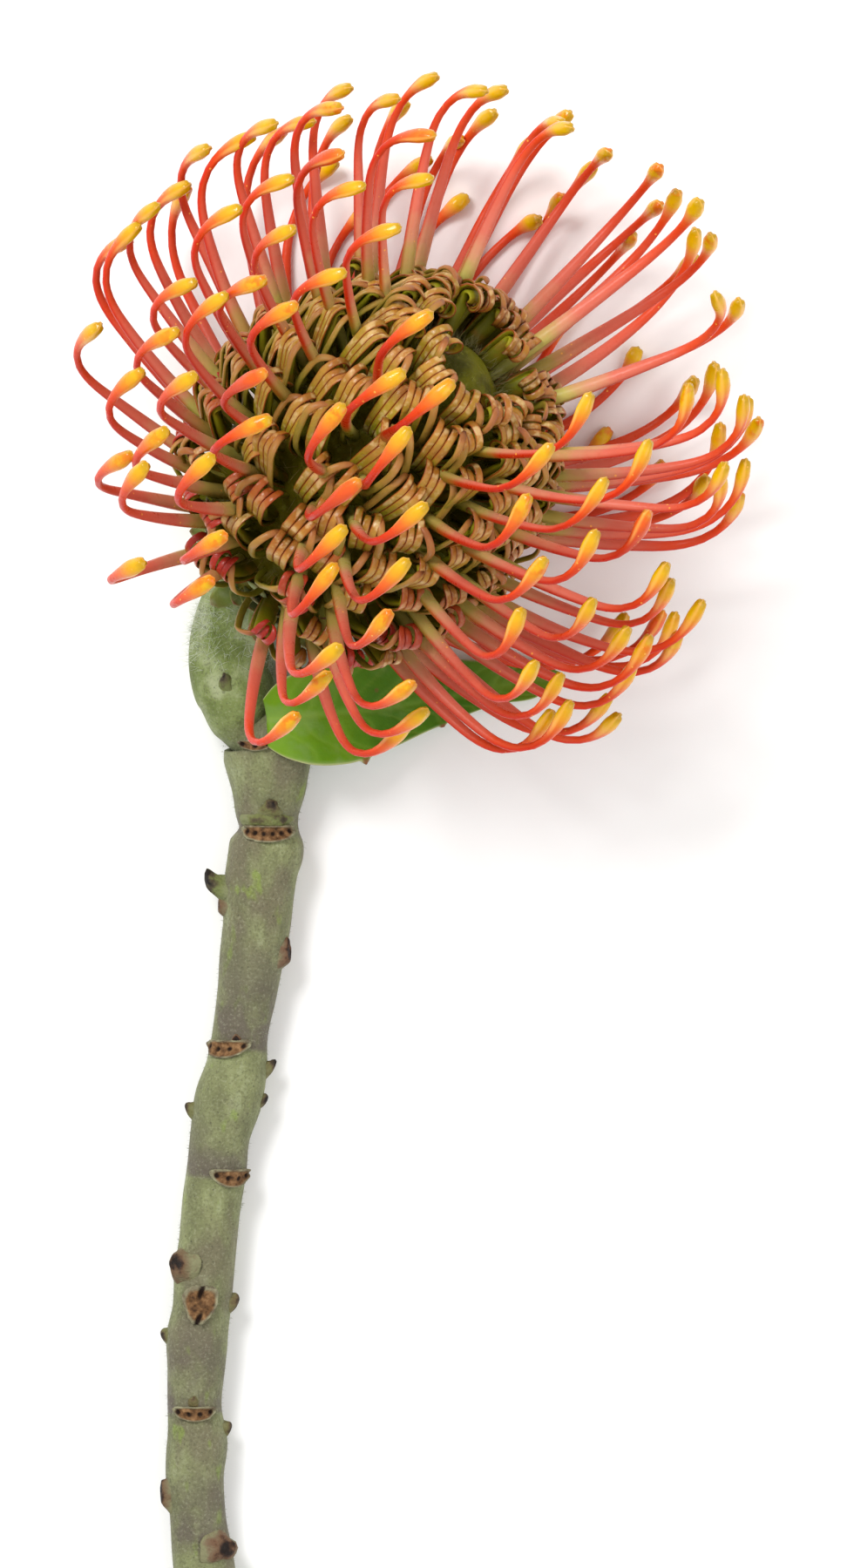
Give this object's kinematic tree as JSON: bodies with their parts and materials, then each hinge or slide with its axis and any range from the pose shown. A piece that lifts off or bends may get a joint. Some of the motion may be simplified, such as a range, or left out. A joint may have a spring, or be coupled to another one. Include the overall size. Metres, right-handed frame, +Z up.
{
  "type": "pincushion protea flower",
  "caption": "Cut pincushion flower lying on its side: dome of curled florets with long hooked styles, knobbly woody stem and one broad leaf.",
  "frame": {"origin": "middle of the flower's outline on the surface it lies on", "axes": "+Z up from the surface, +Y along the stem towards the flower head"},
  "size_m": [0.1066, 0.2353, 0.0851],
  "materials": {
    "stem": "matte grey-green bark with brown scars",
    "leaf": "waxy green leaf, silk sheen",
    "flower_head": "satin orange-red styles",
    "cushion": "satin tan and olive curled florets"
  },
  "bodies": {
    "root": {"stem": "stem", "leaf": "leaf", "flower_head": "flower_head"}
  },
  "joints": []
}
